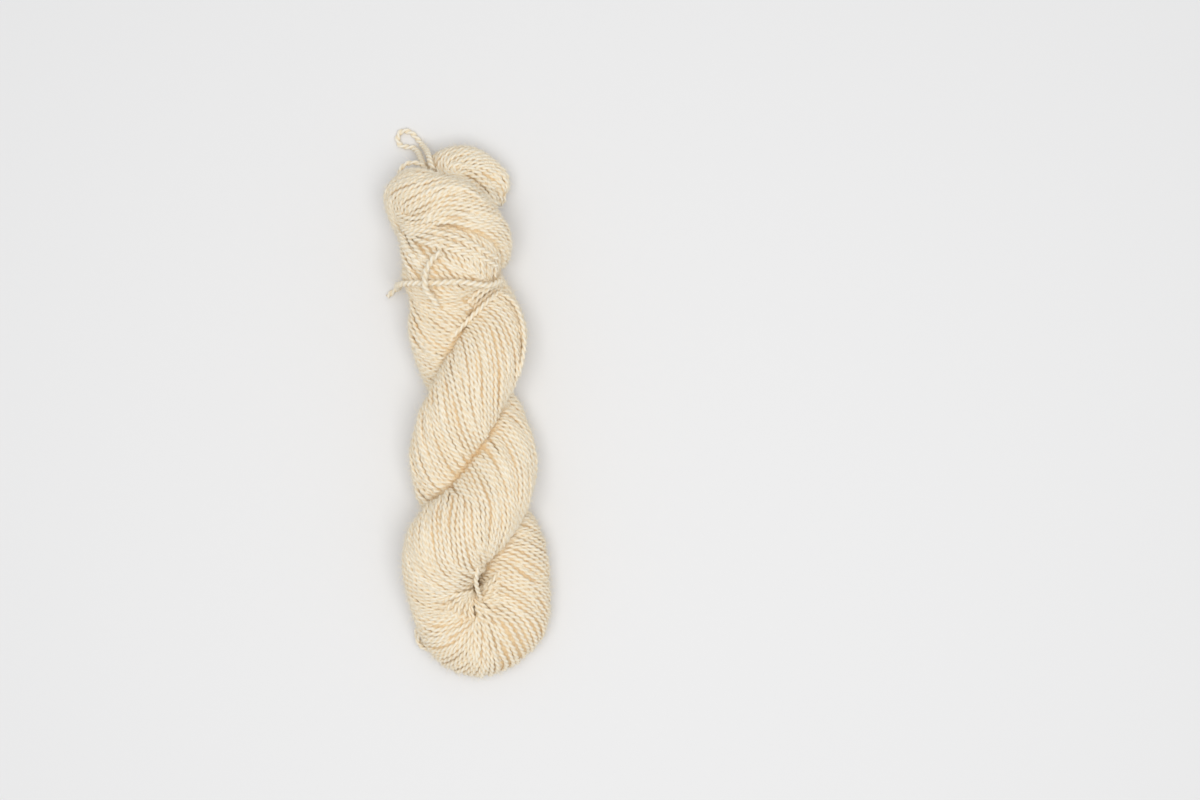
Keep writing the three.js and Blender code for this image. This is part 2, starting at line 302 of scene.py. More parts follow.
TUCK_CURVE = 1.5
BURIED = 0.5  # wool deeper than this isn't the top

# Creases against another stretch, and the strands' painted shade and random tint
CREASE_WIDTH = 1.6  # how near another stretch the strands begin to sink
CREASE_SINK = 0.45  # and how steeply
CREASE_SHADE_REACH = 1.3  # how near another stretch the wool gets painted shade, more tan, in the crease
# how much painted shade, more tan, the creases get
CREASE_PAINTED_SHADE = 0.9
VALLEY_PAINTED_SHADE = 0.8  # painted shade: how much more tan the wool is painted between the yarn's two plies
VALLEY_CURVE = 1.5
SIDE_PAINTED_SHADE = 0.14  # and how much more painted shade towards the neighbouring strands and the wool below
STRAND_TONE = (0.04, 0.07)  # how much more tan a strand is, mean and spread
CORE_INSET = 2.1  # of the wool seen between the strands, under the solid's surface
CORE_SLIMMEST = 0.2
CORE_SKIP = 2  # the core has one in so many points of the bundle's grid

# Fine fibres that stand out of the strands
FIBRES = 28000  # in each of the two pieces
FIBRE_WIDTH = 0.1
FIBRE_TAPER = [1.0, 1.0, 0.8, 0.3]  # of the width, from root to tip
FIBRE_SPANS = 3
FIBRE_LENGTH = 2.9
FIBRE_LENGTH_SPREAD = 0.45
FIBRE_LENGTHS = (1.0, 8.0)
FIBRE_ROOT = 0.8  # of the yarn's radius
FIBRE_TILT = 1.4  # radians to both sides of a strand's outward side
FIBRE_RISE = (0.05, 0.9)  # for each millimetre along the strand
FIBRE_SCATTER = 0.45
FIBRE_CURL = 0.55
FIBRE_BEND_IN = 0.25
FIBRE_FROM_Z = 4.0  # none stand out of lower strands
FIBRE_FLOOR = 0.1  # and none goes below this
TIE_SHARE = 3  # how many times the ties count in the second piece of fibres

# Colours of the strands and their painted shade, of the wool between them and in the fold's hole, both
# painted as wool in shade, and of the fine fibres
WOOL_LIGHT = (0.945, 0.90, 0.785, 1)
WOOL_DARK = (0.90, 0.822, 0.663, 1)
# the tan of painted shade in the yarn's valleys, sides and creases, also of each strand's random tint
WOOL_SHADE_AND_TINT = (0.85, 0.70, 0.47, 1)
WOOL_SHADED = (0.86, 0.66, 0.40, 1)
# painted shade: the wool between the strands is given the tan it has in shade
CORE_SHADE_DARK = (0.70, 0.50, 0.28, 1)
CORE_SHADE_LIGHT = (0.85, 0.68, 0.44, 1)
# painted shade: the wool in the fold's hole is given the dark brown of the hole's shade
HOLE_SHADE_DARK = (0.26, 0.15, 0.06, 1)
HOLE_SHADE_LIGHT = (0.42, 0.27, 0.12, 1)
FUZZ_COLOUR = (0.96, 0.90, 0.78, 1)

# The stage, in metres
CAMERA_AT = (0.0721, 0.0065, 1.112)  # right of the hank, which lies left of the picture's middle
CAMERA_LENS = 60.0  # millimetres, as the sensor
CAMERA_SENSOR = 36.0
FLOOR_HALF = 3.0
FLOOR_COLOUR = (0.812, 0.812, 0.815, 1)
SOFTBOX_AT = (0.1, -0.12, 1.48)
SOFTBOX_SIZE = (1.2, 1.0)
SOFTBOX_WATTS = 13.4
SKY_STRENGTH = 0.53

# Columns of the bundle's grid after each point and its normal: a strand's speed along and round the bundle,
# and the depths inside the bundle and inside another stretch of it
SPEED_S, SPEED_PHI, DEPTH, TOUCH = range(6, 10)
GRID_END = 1.001  # the grid is read up to so many points before its count


def rope_at(y):
    """The rope's columns at a height, read off the table between its two nearest rows."""
    table = np.array(ROPE)[::-1]
    return {name: np.interp(y, table[:, 0], table[:, i]) for i, name in enumerate(RopeRow._fields)}


def helix_rows(from_y, to_y, phase, lay):
    """Centres of one ply on its helix between two heights. lay names its column in the rope's table."""
    count = round(abs(to_y - from_y) / HELIX_STEP)
    rows = []
    for y in np.linspace(from_y, to_y, count + 1):
        at = rope_at(y)
        angle = phase - 2 * math.pi * (y - PHASE_Y) / PITCH
        x = at["x"] + at["helix"] * math.cos(angle)
        rows.append(Row(x, y, at["helix"] * math.sin(angle), at["ply"], at[lay], SPACING))
    return rows


def settle(z):
    """Wool settles under its own weight: the top sinks a little and the underside spreads on the surface."""
    above = AXIS_Z + TOP_SQUASH * z
    below = AXIS_Z - SAG_REACH * np.tanh(TOP_SQUASH * -z / SAG_REACH)
    return np.where(z >= 0, above, below)


def catmull_rom(points, per_span=24):
    """A centripetal curve through the points, and each sample's place counted in points."""
    points = np.asarray(points, float)
    ends = np.vstack([2 * points[0] - points[1], points, 2 * points[-1] - points[-2]])
    curve = []
    places = []
    for i in range(len(points) - 1):
        p0, p1, p2, p3 = ends[i : i + 4]
        d0, d1, d2 = (math.sqrt(np.linalg.norm(b - a)) for a, b in ((p0, p1), (p1, p2), (p2, p3)))
        m1 = ((p1 - p0) / d0 - (p2 - p0) / (d0 + d1) + (p2 - p1) / d1) * d1
        m2 = ((p2 - p1) / d1 - (p3 - p1) / (d1 + d2) + (p3 - p2) / d2) * d1
        t = np.linspace(0, 1, per_span, endpoint=False)[:, None]
        hermite = (2 * t**3 - 3 * t**2 + 1) * p1 + (t**3 - 2 * t**2 + t) * m1
        hermite += (3 * t**2 - 2 * t**3) * p2 + (t**3 - t**2) * m2
        curve.append(hermite)
        places.append(i + t[:, 0])
    return np.vstack([*curve, points[-1:]]), np.append(np.concatenate(places), len(points) - 1)


def lengths_along(points):
    """How far along the line each point lies."""
    return np.append(0, np.cumsum(np.linalg.norm(np.diff(points, axis=0), axis=1)))


def resample(values, at, wanted):
    """Columns of values, known at the places at, read at the wanted places."""
    return np.stack([np.interp(wanted, at, column) for column in np.asarray(values).T], axis=-1)


def unit(vectors):
    """The vectors at length 1."""
    return vectors / np.maximum(np.linalg.norm(vectors, axis=-1, keepdims=True), 1e-9)


def carried_frames(points):
    """Tangents, and two sides carried along the line without turning. side x up = tangent."""
    tangents = unit(np.gradient(points, axis=0))
    side = unit(np.cross(tangents[0], [0.31, 0.17, 0.94]))
    sides = np.empty_like(points)
    for i, tangent in enumerate(tangents):
        side = side - tangent * np.dot(side, tangent)
        side = side / np.linalg.norm(side)
        sides[i] = side
    return tangents, sides, np.cross(tangents, sides)


def tube_faces(count, sides, first=0):
    """The quads between rings of points that are numbered ring by ring from the first."""
    index = first + np.arange(count * sides).reshape(count, sides)
    a, b = index[:-1], index[1:]
    return np.stack([a, np.roll(a, -1, 1), np.roll(b, -1, 1), b], -1).reshape(-1, 4)


class Bundle:
    """The skein's surface as a grid over its length s and the angle round it."""

    def __init__(self):
        first = helix_rows(*FIRST_PLY_Y, math.pi, "first_lay")
        second = helix_rows(*SECOND_PLY_Y, 0.0, "second_lay")
        stretches = [CAP, first, FOLD, second, WRAP]
        rows = np.array([row for stretch in stretches for row in stretch])
        line, place = catmull_rom(rows[:, :3])
        along = lengths_along(line)
        self.length = along[-1]
        self.count = int(self.length) + 1
        self.s = np.linspace(0, self.length, self.count)
        self.step = self.s[1]
        self.centre = resample(line, along, self.s)
        place = np.interp(self.s, along, place)
        self.radius, self.lay, self.gap = resample(rows[:, 3:], range(len(rows)), place).T
        ends = np.cumsum([len(stretch) for stretch in stretches])[:-1] - 0.5
        self.stretch_ends = np.interp(ends, place, self.s)
        self.round_the_ends()
        self.make_grid()

    def round_the_ends(self):
        """Draws the radius in over the last stretch before each end."""
        from_end = np.minimum(self.s, self.length - self.s)
        inset = np.maximum(0, 1 - from_end / self.radius)
        self.radius = self.radius * np.sqrt(np.maximum(1 - inset**2, SLIMMEST_END))

    def make_grid(self):
        """Each grid point's place, normal, strand speeds and depths."""
        self.phi = np.arange(ROUND_ANGLES) * 2 * math.pi / ROUND_ANGLES
        tangents, sides, ups = carried_frames(self.centre)
        cos, sin = np.cos(self.phi)[None, :, None], np.sin(self.phi)[None, :, None]
        outward = cos * sides[:, None] + sin * ups[:, None]
        raw = self.centre[:, None] + self.radius[:, None, None] * outward
        self.outward = outward
        bend = np.gradient(tangents, self.step, axis=0)
        stretch = 1 - self.radius[:, None] * np.einsum("ijk,ik->ij", outward, bend)
        settled = raw.copy()
        settled[..., 2] = np.maximum(settle(raw[..., 2]), 0)
        along = np.gradient(settled, self.step, axis=0)
        ahead, behind = np.roll(settled, -1, axis=1), np.roll(settled, 1, axis=1)
        around = (ahead - behind) / (2 * self.phi[1])
        normal = unit(np.cross(around, along))
        normal = np.where((np.einsum("ijk,ijk->ij", normal, outward) < 0)[..., None], outward, normal)
        normal = unit(sum(np.roll(normal, k, axis=1) for k in (-1, 0, 1)))
        self.settled = settled
        along_length = np.maximum(np.linalg.norm(along, axis=-1), LEAST_ALONG)
        around_length = np.maximum(np.linalg.norm(around, axis=-1), LEAST_AROUND)
        angle = np.radians(self.lay[:, None] + self.wander())
        angle = np.arctan2(np.sin(angle), np.cos(angle) * np.clip(stretch, *STRETCH_RANGE))
        speed_s = np.cos(angle) / along_length
        speed_phi = -np.sin(angle) / around_length
        self.buried, touching = self.depths(raw)
        columns = [column[..., None] for column in (speed_s, speed_phi, self.buried, touching)]
        self.grid = np.concatenate([settled, normal, *columns], axis=-1)

    def wander(self):
        """How far the strands' angle is off all over the grid, in degrees."""
        total = np.zeros((self.count, ROUND_ANGLES))
        for per_mm, turns, size in WANDER:
            phase = rng.uniform(0, 2 * math.pi)
            total += size * np.sin(per_mm * self.s[:, None] + turns * self.phi[None] + phase)
        return total

    def depths(self, raw):
        """How deep each point of the surface lies inside the bundle, and inside another stretch of it."""
        found = np.full(raw.shape[:2], NOWHERE)
        other = found.copy()
        for i in range(self.count):
            reach = self.radius[None] - np.linalg.norm(raw[i][:, None] - self.centre[None], axis=-1)
            apart = np.abs(self.s - self.s[i])
            far = np.where(apart > FAR, reach, NOWHERE).max(1)
            near = np.where(apart <= FAR, reach, NOWHERE).max(1) - OWN_BEND
            found[i] = np.maximum(far, near)
            other[i] = far
        return found, other

    def at(self, s, phi):
        """The grid's columns at one place, between its four nearest points."""
        i = min(max(s / self.step, 0.0), self.count - GRID_END)
        j = (phi / self.phi[1]) % ROUND_ANGLES
        i0, j0 = int(i), int(j)
        return self.between(i0, j0, i - i0, j - j0)

    def many(self, s, phi):
        """The same for arrays of places."""
        i = np.clip(s / self.step, 0, self.count - GRID_END)
        j = (phi / self.phi[1]) % ROUND_ANGLES
        i0, j0 = i.astype(int), j.astype(int) % ROUND_ANGLES
        return self.between(i0, j0, (i - i0)[:, None], (j - np.floor(j))[:, None])

    def between(self, i, j, u, v):
        """The columns at the shares u and v of the way from the grid's point i, j to the next ones."""
        g = self.grid
        j_next = (j + 1) % ROUND_ANGLES
        low = (1 - v) * g[i, j] + v * g[i, j_next]
        high = (1 - v) * g[i + 1, j] + v * g[i + 1, j_next]
        return (1 - u) * low + u * high

    def top_of(self, places, ceiling):
        """The height of the wool's surface below the ceiling, seen from above, at places in the plane."""
        top = self.settled[(self.buried < BURIED) & (self.settled[..., 2] < ceiling)]
        heights = []
        for place in np.atleast_2d(places):
            near = np.hypot(top[:, 0] - place[0], top[:, 1] - place[1]) < DRAPE_REACH
            heights.append(top[near, 2].max() if near.any() else YARN_R)
        return np.array(heights)

    def piece_at(self, s):
        """The number in PIECES of the stretch that s lies in. The fold is two pieces."""
        cap_end, first_end, fold_end, second_end = self.stretch_ends
        fold_middle = (first_end + fold_end) / 2
        return int(np.searchsorted([cap_end, first_end, fold_middle, fold_end, second_end], s))


class Layer:
    """The strands laid so far, with a hash of their points."""

    def __init__(self, bundle):
        self.bundle = bundle
        self.cells = {}
        self.strands = []

    def cell(self, point):
        """The key of the cell that a point lies in."""
        return tuple(int(c // SPACING) for c in point)

    def crowded(self, point, s, share, own=None, own_place=0):
        """Whether a strand of this stretch runs nearer than a share of the gap. own is the one traced."""
        x, y, z = point
        limit = share * self.bundle.gap[int(s / self.bundle.step)]
        square = limit * limit
        for key in product(*[(c - 1, c, c + 1) for c in self.cell(point)]):
            for px, py, pz, ps, strand, place in self.cells.get(key, ()):
                if strand == own and abs(place - own_place) < OWN_STEPS:
                    continue
                if abs(ps - s) > FAR:
                    continue
                if (px - x) ** 2 + (py - y) ** 2 + (pz - z) ** 2 < square:
                    return True
        return False

    def keep(self, point, s, strand, place):
        """Notes that a strand goes through a point, so many steps from its seed."""
        self.cells.setdefault(self.cell(point), []).append((*point, s, strand, place))

    def trace(self, s, phi, way, strand, crowd):
        """Follows one strand one way from a seed until it dives, crowds or ends."""
        bundle = self.bundle
        path = []
        for place in range(1, MOST_STEPS):
            here = bundle.at(s, phi)
            half_s = s + way * 0.5 * TRACE_STEP * here[SPEED_S]
            half_phi = phi + way * 0.5 * TRACE_STEP * here[SPEED_PHI]
            middle = bundle.at(half_s, half_phi)
            s = s + way * TRACE_STEP * middle[SPEED_S]
            phi = phi + way * TRACE_STEP * middle[SPEED_PHI]
            if s < END_MARGIN or s > bundle.length - END_MARGIN:
                break
            there = bundle.at(s, phi)
            if there[DEPTH] > DIVE_DEPTH:
                break
            point = (there[:3] - YARN_R * there[3:6]).tolist()
            if self.crowded(point, s, crowd, strand, way * place):
                return path, True, (s, phi)
            path.append((s, phi))
            self.keep(point, s, strand, way * place)
        return path, False, (s, phi)

    def slip(self, start, way):
        """The places by which a strand goes on under its neighbours."""
        s, phi = start
        path = []
        for _ in range(int(SLIP_LENGTH / TRACE_STEP)):
            here = self.bundle.at(s, phi)
            s += way * TRACE_STEP * here[SPEED_S]
            phi += way * TRACE_STEP * here[SPEED_PHI]
            path.append((s, phi))
        return path

    def lay_from(self, s, phi, fill):
        """Lays a strand through a seed, if it has that share of the gap for itself."""
        here = self.bundle.at(s, phi)
        if here[DEPTH] > SEED_DEPTH or not END_MARGIN < s < self.bundle.length - END_MARGIN:
            return []
        point = (here[:3] - YARN_R * here[3:6]).tolist()
        if self.crowded(point, s, fill.room):
            return []
        strand = len(self.strands)
        forward, slip_on, front = self.trace(s, phi, 1, strand, fill.crowd)
        backward, slip_back, back = self.trace(s, phi, -1, strand, fill.crowd)
        body = [*backward[::-1], (s, phi), *forward]
        self.keep(point, s, strand, 0)
        if len(body) * TRACE_STEP < SHORTEST:
            self.drop(strand)
            self.strands.append(None)
            return []
        before = self.slip(back, -1)[::-1] if slip_back else []
        after = self.slip(front, 1) if slip_on else []
        places = np.array([*before, *body, *after])
        distance = np.arange(len(places)) * TRACE_STEP
        inset = np.zeros(len(places))
        if before:
            inset = np.maximum(inset, 1 - distance / SLIP_LENGTH)
        if after:
            inset = np.maximum(inset, 1 - (distance[-1] - distance) / SLIP_LENGTH)
        self.strands.append((places, fill.sunk + SLIP_DEPTH * inset**SLIP_CURVE))
        return body

    def drop(self, strand):
        """Forgets a strand's points."""
        for key in list(self.cells):
            kept = [entry for entry in self.cells[key] if entry[4] != strand]
            if kept:
                self.cells[key] = kept
            else:
                del self.cells[key]

    def seeds(self):
        """Two rows of places along the bundle, and then places all over it in a random order."""
        bundle = self.bundle
        places = []
        for first, last, angle in SEED_ROWS:
            shares = np.linspace(first, last, SEEDS_IN_ROW)
            places += [(bundle.length * share, angle) for share in shares]
        for k in rng.permutation(bundle.count * ROUND_ANGLES // SEED_SKIP):
            s = bundle.s[k * SEED_SKIP // ROUND_ANGLES]
            places.append((s, bundle.phi[k * SEED_SKIP % ROUND_ANGLES] + SEED_TURN))
        return places

    def fill(self, fill):
        """Lays strands side by side outwards from the first, then in whatever room is left."""
        for seed in self.seeds():
            waiting = [seed]
            while waiting:
                body = self.lay_from(*waiting.pop(), fill)
                waiting += self.beside(body, fill.room + SEED_ROOM)

    def beside(self, body, room):
        """Seeds along both sides of a strand, a share of the gap away."""
        bundle = self.bundle
        seeds = []
        for s, phi in body[::SEED_STEPS]:
            here = bundle.at(s, phi)
            # Across the strand on the surface, in the grid's own measures
            around = self.speed(s, phi, 0, bundle.phi[1] / 2)
            along = self.speed(s, phi, bundle.step / 2, 0)
            across_s = here[SPEED_PHI] * around / along
            across_phi = -here[SPEED_S] * along / around
            reach = bundle.gap[min(int(s / bundle.step), bundle.count - 1)] * room
            for side in (1, -1):
                seeds.append((s + side * reach * across_s, phi + side * reach * across_phi))
        return seeds

    def speed(self, s, phi, half_s, half_phi):
        """How fast the surface goes past a place, along or round the bundle, by half a step each way."""
        ahead = self.bundle.at(s + half_s, phi + half_phi)[:3]
        behind = self.bundle.at(s - half_s, phi - half_phi)[:3]
        return np.linalg.norm((ahead - behind) / (2 * (half_s + half_phi)) + 1e-6)


def smooth_noise(length, every, size):
    """A smooth random line over a length, with a turn about every so many millimetres."""
    knots = rng.normal(0, size, int(length / every) + 4)
    places = np.arange(len(knots)) * every
    at = np.arange(0, length + 1e-6, NOISE_STEP)
    rough = np.interp(at, places, knots)
    width = max(3, int(every))
    kernel = np.hanning(width + 2)[1:-1]
    smooth = np.convolve(np.pad(rough, width, mode="edge"), kernel / kernel.sum(), mode="same")
    return at, smooth[width:-width]


def strand_line(bundle, places, inset):
    """A strand's centreline with small uneven waves, its normals, and how far each point is in a crease,
    which sets its painted shade.
    """
    at = bundle.many(places[:, 0], places[:, 1])
    along = lengths_along(at[:, :3])
    total = along[-1]
    wanted = np.arange(0, total, RING_STEP)
    smooth = resample(places, along, wanted)
    at = bundle.many(smooth[:, 0], smooth[:, 1])
    crease_sink = CREASE_SINK * np.clip(at[:, DEPTH] + CREASE_WIDTH, 0, 2 * CREASE_WIDTH)
    deep = np.interp(wanted, along, inset) + crease_sink
    lift_at, lift = smooth_noise(total, *LIFT_NOISE)
    sway_at, sway = smooth_noise(total, *SWAY_NOISE)
    deep = deep + rng.uniform(*SUNK_SPREAD) - np.interp(wanted, lift_at, lift)
    surface, normal = at[:, :3], unit(at[:, 3:6])
    tangent = unit(np.gradient(surface, axis=0))
    across = np.cross(normal, tangent)
    line = surface - normal * (STRAND_R + deep)[:, None]
    line += across * np.interp(wanted, sway_at, sway)[:, None]
    line[:, 2] = np.maximum(line[:, 2], YARN_R * FLOOR_GAP)
    # painted shade: near another stretch the wool is painted more tan, where the crease is shaded
    crease_shade = np.clip((at[:, TOUCH] + CREASE_SHADE_REACH) / CREASE_SHADE_REACH, 0, 1) ** 2
    return line, normal, crease_shade


def soften(line, rounds=3):
    """Takes the small corners out of a line."""
    for _ in range(rounds):
        line[1:-1] = (line[:-2] + 2 * line[1:-1] + line[2:]) / 4
    return line


def even_line(places):
    """A curve through the places with a point every RING_STEP, and how far along it each point lies."""
    curve, _ = catmull_rom(places)
    along = lengths_along(curve)
    wanted = np.arange(0, along[-1], RING_STEP)
    return resample(curve, along, wanted), wanted


def draped_line(bundle, lift, places, ceiling=NO_CEILING):
    """A strand laid on the wool along places seen from above, its ends tucked in."""
    line, along = even_line(places)
    apart = np.abs(along[:, None] - along[None])
    height = (bundle.top_of(line, ceiling)[None] - STEEPEST * apart).max(1)
    kernel = np.hanning(DRAPE_WINDOW)
    height = np.convolve(np.pad(height, DRAPE_WINDOW // 2, mode="edge"), kernel / kernel.sum(), mode="valid")
    from_end = np.minimum(along, along[-1] - along)
    tuck = SLIP_DEPTH * np.clip(1 - from_end / SLIP_LENGTH, 0, 1) ** TUCK_CURVE
    return soften(np.column_stack([line, height - YARN_R + lift - tuck]))


def tops(line):
    """The outward direction of a line that lies free: straight up all along it."""
    return np.tile([0.0, 0.0, 1.0], (len(line), 1))


def yarn_rings(line, outward, sides, radius, phase):
    """Rings of a two-ply yarn along a line: two lobes that turn once every PLY_PITCH.

    The painted shade of each point is 0 on a lobe's outer side and rises in the valleys and towards the
    neighbours, where shade falls."""
    _, side, up = carried_frames(line)
    along = lengths_along(line)
    angles = np.arange(sides) * 2 * math.pi / sides
    turned = angles[None] - 2 * math.pi * along[:, None] / PLY_PITCH + phase
    reach = radius * (LOBE_MEAN + LOBE_SWING * np.cos(2 * angles))
    offset = np.cos(turned)[..., None] * side[:, None] + np.sin(turned)[..., None] * up[:, None]
    rings = line[:, None] + reach[None, :, None] * offset
    facing = np.einsum("ijk,ik->ij", offset, outward)
    valley = (1 - np.cos(2 * angles)) / 2
    shades_and_tints = VALLEY_PAINTED_SHADE * valley[None] ** VALLEY_CURVE + SIDE_PAINTED_SHADE * np.clip(1 - facing, 0, 2) ** 2
    return rings, along, angles, shades_and_tints


class Tubes:
    """Collects swept yarns and makes one mesh of them."""

    def __init__(self):
        self.points = []
        self.faces = []
        self.uvs = []
        self.shades_and_tints = []
        self.total = 0

    def add(self, rings, along, angles, shades_and_tints):
        """Adds a yarn. Its UV goes along it in millimetres and once round it."""
        count, sides = rings.shape[:2]
        self.points.append(rings.reshape(-1, 3))
        self.faces.append(tube_faces(count, sides, self.total))
        u = np.repeat(along[:, None], sides, 1)
        v = np.repeat(angles[None], count, 0) / (2 * math.pi)
        v_next = np.append(v[:, 1:], np.ones((count, 1)), 1)
        corners_u = np.stack([u[:-1], u[:-1], u[1:], u[1:]], -1).reshape(-1, 4)
        corners_v = np.stack([v[:-1], v_next[:-1], v_next[1:], v[1:]], -1).reshape(-1, 4)
        self.uvs.append(np.stack([corners_u, corners_v], -1))
        self.shades_and_tints.append(np.clip(shades_and_tints, 0, 1).ravel())
        self.total += count * sides

    def mesh_object(self, name, material):
        """One object of all the yarns, with their UVs and their painted shade and tints."""
        made = mesh_from(name, np.concatenate(self.points), np.concatenate(self.faces), material)
        uv = made.data.uv_layers.new(name="yarn")
        uv.data.foreach_set("uv", np.concatenate(self.uvs).astype(np.float32).ravel())
        tone = made.data.attributes.new("tone", "FLOAT", "POINT")
        tone.data.foreach_set("value", np.concatenate(self.shades_and_tints).astype(np.float32))
        return made


def new_object(name, data):
    """A new object in the scene."""
    made = bpy.data.objects.new(name, data)
    bpy.context.scene.collection.objects.link(made)
    return made


def mesh_from(name, points, faces, material):
    """A smooth-shaded object from arrays of points in millimetres and of faces with equally many corners."""
    mesh = bpy.data.meshes.new(name)
    corners = faces.shape[1]
    mesh.vertices.add(len(points))
    mesh.vertices.foreach_set("co", (points * MM).astype(np.float32).ravel())
    mesh.loops.add(faces.size)
    mesh.loops.foreach_set("vertex_index", faces.astype(np.int32).ravel())
    mesh.polygons.add(len(faces))
    mesh.polygons.foreach_set("loop_start", np.arange(0, faces.size, corners, dtype=np.int32))
    mesh.polygons.foreach_set("use_smooth", np.ones(len(faces), bool))
    mesh.update(calc_edges=True)
    mesh.materials.append(material)
    return new_object(name, mesh)


def wool_piece(made):
    """Declares a piece of the hank's wool."""
    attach(made, "root")
    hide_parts("hank")


def new_material(name):
    """An empty material, its nodes, its links and the output node."""
    material = bpy.data.materials.new(name)
    material.use_nodes = True
    nodes = material.node_tree.nodes
    nodes.clear()
    return material, nodes, material.node_tree.links, nodes.new("ShaderNodeOutputMaterial")


def principled(name, looks):
    """A material of one principled shader: itself, its nodes, its links and the shader."""
    material, nodes, links, out = new_material(name)
    shader = new_node(nodes, "BsdfPrincipled", looks)
    links.new(shader.outputs["BSDF"], out.inputs["Surface"])
    return material, nodes, links, shader


def new_node(nodes, kind, values):
    """A new shader node with values for its inputs."""
    made = nodes.new("ShaderNode" + kind)
    for name, value in values.items():
        made.inputs[name].default_value = value
    return made


def noise(nodes, links, vector, scale, detail):
    """A noise texture over a vector."""
    texture = new_node(nodes, "TexNoise", {"Scale": scale, "Detail": detail})
    links.new(vector, texture.inputs["Vector"])
    return texture.outputs["Fac"]


def ramp(nodes, links, value, dark_at, dark, light_at, light):
    """A colour between two, by a value."""
    made = nodes.new("ShaderNodeValToRGB")
    made.color_ramp.elements[0].position = dark_at
    made.color_ramp.elements[0].color = dark
    made.color_ramp.elements[1].position = light_at
    made.color_ramp.elements[1].color = light
    links.new(value, made.inputs["Fac"])
    return made.outputs["Color"]


def mixed(nodes, links, colour, other, amount):
    """A colour mixed with a fixed other one by an amount."""
    mix = nodes.new("ShaderNodeMix")
    mix.data_type = "RGBA"
    mix.inputs["B"].default_value = other
    links.new(colour, mix.inputs["A"])
    links.new(amount, mix.inputs["Factor"])
    return mix.outputs["Result"]


def bump(nodes, links, shader, height, strength, distance):
    """Raises a shader's surface by a height."""
    made = new_node(nodes, "Bump", {"Strength": strength, "Distance": distance})
    links.new(height, made.inputs["Height"])
    links.new(made.outputs["Normal"], shader.inputs["Normal"])


def crevice_tint(nodes, links, colour):
    """A colour made more tan where little light gets in, as each turn of wool that light meets tints it."""
    shut = new_node(nodes, "AmbientOcclusion", {"Distance": 0.006})
    shut.samples = 6
    span = {"From Min": 0.05, "From Max": 0.62, "To Min": 0.85, "To Max": 0.0}
    amount = new_node(nodes, "MapRange", span)
    links.new(shut.outputs["AO"], amount.inputs["Value"])
    return mixed(nodes, links, colour, WOOL_SHADED, amount.outputs["Result"])


def streaks_and_patches(nodes, links, fibres):
    """The wool's fine streaks, with some of its larger patches."""
    place = nodes.new("ShaderNodeTexCoord")
    patches = noise(nodes, links, place.outputs["Object"], 90.0, 3.0)
    total = nodes.new("ShaderNodeMath")
    total.operation = "MULTIPLY_ADD"
    total.inputs[1].default_value = 0.7
    links.new(fibres, total.inputs[0])
    scale = nodes.new("ShaderNodeMath")
    scale.operation = "MULTIPLY"
    scale.inputs[1].default_value = 0.3
    links.new(patches, scale.inputs[0])
    links.new(scale.outputs[0], total.inputs[2])
    return total.outputs[0]


def wool_material():
    """Cream wool. Fine fibres run round the yarn's own twist, and painted shade makes its valleys and creases
    more tan.
    """
    looks = {
        "Roughness": 0.95,
        "Specular IOR Level": 0.15,
        "Sheen Weight": 0.25,
        "Sheen Roughness": 0.6,
        "Sheen Tint": (1.0, 0.95, 0.85, 1.0),
    }
    material, nodes, links, shader = principled("wool", looks)
    uv = nodes.new("ShaderNodeUVMap")
    uv.uv_map = "yarn"
    stretch = new_node(nodes, "Mapping", {"Scale": (0.55, 9.0, 1.0), "Rotation": (0.0, 0.0, 0.35)})
    links.new(uv.outputs["UV"], stretch.inputs["Vector"])
    fibres = noise(nodes, links, stretch.outputs["Vector"], 3.0, 4.0)
    colour = ramp(nodes, links, streaks_and_patches(nodes, links, fibres), 0.36, WOOL_DARK, 0.58, WOOL_LIGHT)
    # painted shade of the valleys, sides and creases, with each strand's random tint
    tone = nodes.new("ShaderNodeAttribute")
    tone.attribute_name = "tone"
    colour = mixed(nodes, links, colour, WOOL_SHADE_AND_TINT, tone.outputs["Fac"])
    links.new(crevice_tint(nodes, links, colour), shader.inputs["Base Color"])
    bump(nodes, links, shader, fibres, 0.5, 0.0003)
    return material


def core_material(name, dark, light):
    """The wool seen between the strands: the same fleece in shade, streaked."""
    material, nodes, links, shader = principled(name, {"Roughness": 1.0, "Specular IOR Level": 0.1})
    place = nodes.new("ShaderNodeTexCoord")
    streaks = noise(nodes, links, place.outputs["Object"], 700.0, 4.0)
    links.new(ramp(nodes, links, streaks, 0.35, dark, 0.7, light), shader.inputs["Base Color"])
    bump(nodes, links, shader, streaks, 0.6, 0.0005)
    return material


def fuzz_material():
    """Fine fibres that let half of the light through."""
    material, nodes, links, out = new_material("wool_fuzz")
    looks = {"Base Color": FUZZ_COLOUR, "Roughness": 0.8, "Specular IOR Level": 0.2}
    shader = new_node(nodes, "BsdfPrincipled", looks)
    glow = new_node(nodes, "BsdfTranslucent", {"Color": FUZZ_COLOUR})
    mix = new_node(nodes, "MixShader", {"Fac": 0.5})
    links.new(shader.outputs["BSDF"], mix.inputs[1])
    links.new(glow.outputs["BSDF"], mix.inputs[2])
    links.new(mix.outputs["Shader"], out.inputs["Surface"])
    return material


def tie_line(route):
    """A tie's centreline through its route, in millimetres."""
    curve, _ = catmull_rom(np.array(route) + TO_MIDDLE)
    along = lengths_along(curve)
    return resample(curve, along, np.linspace(0, along[-1], round(along[-1] / TIE_STEP)))


def make_tie(name, route):
    """Returns its line and outward directions."""
    line = tie_line(route)
    rings, along, angles, shades_and_tints = yarn_rings(line, tops(line), SIDES_TIE, TIE_R, TIE_PHASE)
    tubes = Tubes()
    tubes.add(rings, along, angles, shades_and_tints)
    tie = tubes.mesh_object(name + "_yarn", WOOL)
    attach(tie, "root")
    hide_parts(name)
    return line, tops(line)


